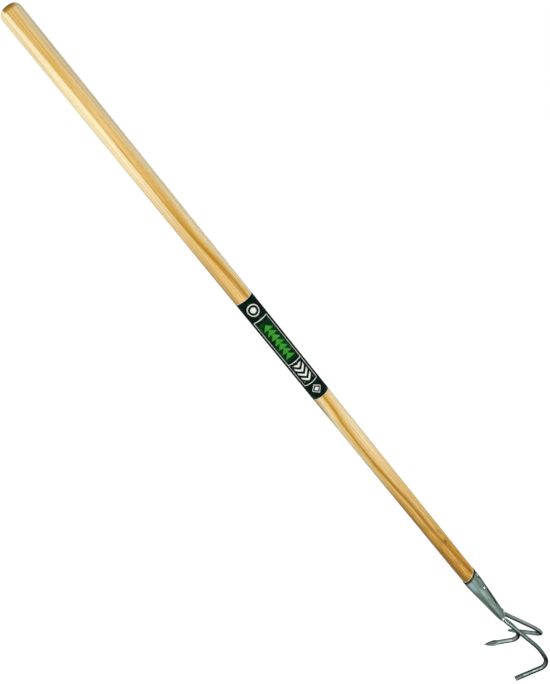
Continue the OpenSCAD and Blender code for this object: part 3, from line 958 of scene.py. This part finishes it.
def build_tines():
    """Two outer tines with chisel ends and the middle one with a spear."""
    tines = bpy.context.scene.cultivator_tines
    finish = steel_finish("Rod steel", tines, roughness=0.2, fineness=(1400, 40, 1), broad=(80, 2.5, 1),
                          cloud=70.0, mapped=True, patch=heat_colour_and_shade, dulled=ground_blade)
    full = 2 * tines.rod
    for name, cad_node, side in (("left_claw", "left_tine", -1), ("right_claw", "right_tine", 1)):
        rings = []
        for part in (i / 10 for i in range(1, 11)):
            rings.append((tines.chisel * part, full + (tines.edge - full) * part,
                          full + (tines.chisel_width - full) * part, -side * tines.chisel_turn))
        # the edge itself is rounded off a little
        drop, thick, wide, twist = rings.pop()
        rings.append((drop - 0.3 * MM, thick + 0.1 * MM, wide, twist))
        rings.append((drop, thick - 0.4 * MM, wide - 0.6 * MM, twist))
        lengths = (tines.outer_shank, tines.outer_bend, tines.outer_hook)
        build_tine(name, cad_node, side, tines.outer_rise, lengths, rings, finish)
    rings = [(tines.spear * part, thick * MM, wide * tines.spear_width, 0.0)
             for part, thick, wide in SPEAR_PROFILE]
    lengths = (tines.middle_shank, tines.middle_bend, tines.middle_hook)
    build_tine("middle_claw", "middle_tine", 0, tines.middle_rise, lengths, rings, finish)


def weld_beads():
    """Place of each bead from the weld's upper face, and its radius, in millimetres."""
    socket = bpy.context.scene.cultivator_socket
    beads = []
    for side in (-1, 0, 1):
        x, y = side * socket.root_spread / 2 / MM, (socket.root_back if side else -socket.root_front) / MM
        beads += [(x, y, -1.2, 4.9), (x * 1.05, y + 1.2, -3.6, 4.3), (x * 0.9, y - 0.6, -2.4, 4.5)]
    for side in (-1, 1):
        beads += [(side * 3.6, 3.6, -2.2, 3.3), (side * 4.2, -2.2, -2.0, 3.4), (side * 8.6, 2.6, -2.8, 2.7),
                  (side * 9.9, 4.4, 1.0, 3.3), (side * 8.0, 5.6, -0.6, 3.2), (side * 10.6, 2.0, -1.6, 3.0),
                  (side * 5.0, 5.4, -1.4, 2.8)]
    return beads + [(0, 2.4, -3.4, 4.0), (0, 4.8, -1.8, 2.8)]


def build_weld():
    """Beads of weld round the rods, run together into one lump."""
    scene = bpy.context.scene
    weld = scene.cultivator_weld
    bm = bmesh.new()
    for x, y, up, radius in weld_beads():
        place = Matrix.Translation((x * MM, y * MM, weld.top + up * MM)) @ Matrix.Diagonal((1, 1, 0.8, 1))
        bmesh.ops.create_icosphere(bm, subdivisions=3, radius=radius * MM, matrix=place)
    rough = bpy.data.meshes.new("weld_beads")
    bm.to_mesh(rough)
    bm.free()
    lump = bpy.data.objects.new("weld_beads", rough)
    scene.collection.objects.link(lump)
    joined = lump.modifiers.new("Joined", "REMESH")
    joined.mode, joined.voxel_size = "VOXEL", weld.voxel
    bpy.context.view_layer.update()
    seen = lump.evaluated_get(bpy.context.evaluated_depsgraph_get())
    bm = bmesh.new()
    bm.from_mesh(seen.to_mesh())
    seen.to_mesh_clear()
    bpy.data.objects.remove(lump)
    bpy.data.meshes.remove(rough)
    for _ in range(WELD_PASSES):
        bmesh.ops.smooth_vert(bm, verts=bm.verts, factor=0.5, use_axis_x=True, use_axis_y=True, use_axis_z=True)
    finish = steel_finish("Weld steel", weld, roughness=0.32, fineness=(500,) * 3, broad=(400,) * 3,
                          cloud=240.0)
    return finished("weld_bead", bm, finish, "weld_steel", "root_weld", sharp=80)


def place_camera(stage):
    """Camera at the photograph's angle."""
    heading, pitch, roll = stage.heading, stage.pitch, stage.roll
    ahead = Vector((math.cos(pitch) * math.cos(heading), math.cos(pitch) * math.sin(heading), -math.sin(pitch)))
    right = ahead.cross(Vector((0, 0, 1))).normalized()
    down = ahead.cross(right)
    across = math.cos(roll) * right + math.sin(roll) * down
    lower = -math.sin(roll) * right + math.cos(roll) * down
    lens = bpy.data.cameras.new("camera")
    lens.lens, lens.sensor_width, lens.clip_start, lens.clip_end = stage.lens, 36, 0.01, 100
    camera = bpy.data.objects.new("camera", lens)
    bpy.context.scene.collection.objects.link(camera)
    turned = Matrix((across, -lower, -ahead)).transposed().to_4x4()
    camera.matrix_world = Matrix.Translation(stage.eye) @ turned
    bpy.context.scene.camera = camera


def flat_sheet(name, wide, deep, stand, finish):
    """A flat sheet of the stage."""
    bm = bmesh.new()
    bmesh.ops.create_grid(bm, x_segments=1, y_segments=1, size=0.5)
    bmesh.ops.scale(bm, vec=(wide, deep, 1), verts=bm.verts)
    bmesh.ops.transform(bm, matrix=stand, verts=bm.verts)
    mesh = bpy.data.meshes.new(name)
    bm.to_mesh(mesh)
    bm.free()
    mesh.materials.append(finish)
    sheet = bpy.data.objects.new(name, mesh)
    bpy.context.scene.collection.objects.link(sheet)
    return sheet


def background_rays(tree):
    """1 for the rays that show the white background, straight or by way of metal and glass."""
    rays = tree.nodes.new("ShaderNodeLightPath").outputs
    return largest(*[Field(tree, rays[f"Is {kind} Ray"]) for kind in ("Camera", "Glossy", "Transmission")])


def white_surroundings(stage):
    """White floor, which keeps the shadow, and white world."""
    paper = bpy.data.materials.new("White paper")
    world = bpy.data.worlds.new("white surroundings")
    bpy.context.scene.world = world
    for block in (paper, world):
        block.use_nodes = True
        block.node_tree.nodes.clear()
    tree = paper.node_tree
    matt = result(tree, "BsdfDiffuse", None, Color=(0.45, 0.45, 0.45))
    glow = result(tree, "Emission", None, Color=(1, 1, 1), Strength=background_rays(tree) * 0.82)
    node(tree, "OutputMaterial", None, result(tree, "AddShader", None, matt, glow))
    flat_sheet("floor", 60, 60, Matrix.Translation((0, 0, stage.floor)), paper)
    tree = world.node_tree
    strength = result(tree, "MapRange", None, background_rays(tree), 0.0, 1.0, stage.ambient, 1.0)
    node(tree, "OutputWorld", None, result(tree, "Background", None, Color=(1, 1, 1), Strength=strength))


def dark_cards(stage):
    """Dark cards under and behind the head, which only the metal mirrors, so that its edges darken."""
    finish, tree, shader = material("Dark card")
    set_inputs(tree, shader, Base_Color=(0.06, 0.06, 0.06), Specular_IOR_Level=0.0)
    ground = Matrix.Translation((0, 0, stage.floor)) @ turn_about("Z", stage.heading)
    under = Matrix.Translation(((stage.card_near + stage.card_far) / 2, 0.06, 0.05 * MM))
    behind = Matrix.Translation((0.7, 0, 0.45)) @ turn_about("Y", math.pi / 2)
    for name, stand, wide, deep in (("card under the head", under, stage.card_far - stage.card_near, 0.2),
                                    ("card behind the head", behind, 0.8, 1.6)):
        card = flat_sheet(name, wide, deep, ground @ stand, finish)
        card.visible_camera = card.visible_diffuse = card.visible_shadow = False


def area_lamp(name, place, wide, tall, watts, target=None):
    """A rectangular lamp that the camera does not see, aimed at a target where one is given."""
    light = bpy.data.lights.new(name, "AREA")
    light.shape, light.size, light.size_y, light.energy = "RECTANGLE", wide, tall, watts
    lamp = bpy.data.objects.new(name, light)
    bpy.context.scene.collection.objects.link(lamp)
    lamp.location = place
    lamp.visible_camera = False
    if target:
        lamp.rotation_euler = (Vector(target) - lamp.location).to_track_quat("-Z", "Y").to_euler()
    return lamp


def build_stage():
    """Camera at the photograph's angle, white floor and surroundings, and soft lamps."""
    stage = bpy.context.scene.cultivator_stage
    place_camera(stage)
    white_surroundings(stage)
    dark_cards(stage)
    area_lamp("upper softbox", (1.55, -0.55, 0.55), wide=0.7, tall=1.3, watts=12.6, target=(0, 0, -0.1))
    area_lamp("lower softbox", (0.25, 1.25, -0.55), wide=0.5, tall=0.9, watts=6, target=(0, 0, -0.85))
    area_lamp("front strip", (1.15, 0.42, -0.1), wide=0.12, tall=1.3, watts=5.6, target=(0, 0, -0.6))
    # strips that only the metal mirrors: two face up from the floor before the head, one hangs over it
    for name, degrees, far, height, wide, tall, watts, target in (
        ("socket strip", 0, 0.17, MM, 0.03, 0.14, 0.03, None),
        ("tine strip", 13, 0.53, MM, 0.09, 0.3, 3.5, None),
        ("hook strip", 1.5, 0.65, 0.8, 0.26, 0.26, 3.2, (0.043, -0.005, -1.148)),
    ):
        way = stage.heading + math.pi + math.radians(degrees)
        place = (far * math.cos(way), far * math.sin(way), stage.floor + height)
        lamp = area_lamp(name, place, wide, tall, watts, target)
        lamp.visible_diffuse = False
        if target is None:
            lamp.rotation_euler = (math.pi, 0, way + math.pi / 2)
    bpy.context.scene.view_settings.view_transform = "Standard"


class CULTIVATOR_OT_shaft(bpy.types.Operator):
    """Build the wooden shaft"""

    bl_idname = "cultivator.shaft"
    bl_label = "Wooden Shaft"

    def execute(self, context):
        build_shaft()
        return {"FINISHED"}


class CULTIVATOR_OT_label(bpy.types.Operator):
    """Build the label sleeve"""

    bl_idname = "cultivator.label"
    bl_label = "Label Sleeve"

    def execute(self, context):
        build_label()
        return {"FINISHED"}


class CULTIVATOR_OT_socket(bpy.types.Operator):
    """Build the rolled socket"""

    bl_idname = "cultivator.socket"
    bl_label = "Rolled Socket"

    def execute(self, context):
        build_socket()
        return {"FINISHED"}


class CULTIVATOR_OT_nails(bpy.types.Operator):
    """Build the two nails"""

    bl_idname = "cultivator.nails"
    bl_label = "Nails"

    def execute(self, context):
        build_nails()
        return {"FINISHED"}


class CULTIVATOR_OT_tines(bpy.types.Operator):
    """Build the three tines"""

    bl_idname = "cultivator.tines"
    bl_label = "Tines"

    def execute(self, context):
        build_tines()
        return {"FINISHED"}


class CULTIVATOR_OT_weld(bpy.types.Operator):
    """Build the weld between the socket and the tines"""

    bl_idname = "cultivator.weld"
    bl_label = "Weld"

    def execute(self, context):
        build_weld()
        return {"FINISHED"}


class CULTIVATOR_OT_stage(bpy.types.Operator):
    """Set up the camera, the floor and the light"""

    bl_idname = "cultivator.stage"
    bl_label = "Stage"

    def execute(self, context):
        build_stage()
        return {"FINISHED"}


class CULTIVATOR_PT_pieces(bpy.types.Panel):
    """Lists the pieces with their settings"""

    bl_label = "Cultivator"
    bl_idname = "CULTIVATOR_PT_pieces"
    bl_space_type = "VIEW_3D"
    bl_region_type = "UI"
    bl_category = "Cultivator"

    def draw(self, context):
        for operator, attribute, _ in STEPS:
            box = self.layout.box()
            box.operator(operator.bl_idname)
            settings = getattr(context.scene, attribute)
            for key in settings.__annotations__:
                box.prop(settings, key)


STEPS = (
    (CULTIVATOR_OT_shaft, "cultivator_shaft", ShaftSettings),
    (CULTIVATOR_OT_label, "cultivator_label", LabelSettings),
    (CULTIVATOR_OT_socket, "cultivator_socket", SocketSettings),
    (CULTIVATOR_OT_nails, "cultivator_nails", NailSettings),
    (CULTIVATOR_OT_tines, "cultivator_tines", TineSettings),
    (CULTIVATOR_OT_weld, "cultivator_weld", WeldSettings),
    (CULTIVATOR_OT_stage, "cultivator_stage", StageSettings),
)


def register():
    """Registers the settings, the operators and the panel."""
    for operator, attribute, settings in STEPS:
        bpy.utils.register_class(settings)
        setattr(bpy.types.Scene, attribute, PointerProperty(type=settings))
        bpy.utils.register_class(operator)
    bpy.utils.register_class(CULTIVATOR_PT_pieces)


def unregister():
    """Takes everything out again."""
    bpy.utils.unregister_class(CULTIVATOR_PT_pieces)
    for operator, attribute, settings in reversed(STEPS):
        bpy.utils.unregister_class(operator)
        delattr(bpy.types.Scene, attribute)
        bpy.utils.unregister_class(settings)


def main():
    """Builds every piece in order."""
    register()
    bpy.ops.cultivator.shaft()
    bpy.ops.cultivator.label()
    bpy.ops.cultivator.socket()
    bpy.ops.cultivator.nails()
    bpy.ops.cultivator.tines()
    bpy.ops.cultivator.weld()
    bpy.ops.cultivator.stage()


if __name__ == "__main__":
    main()
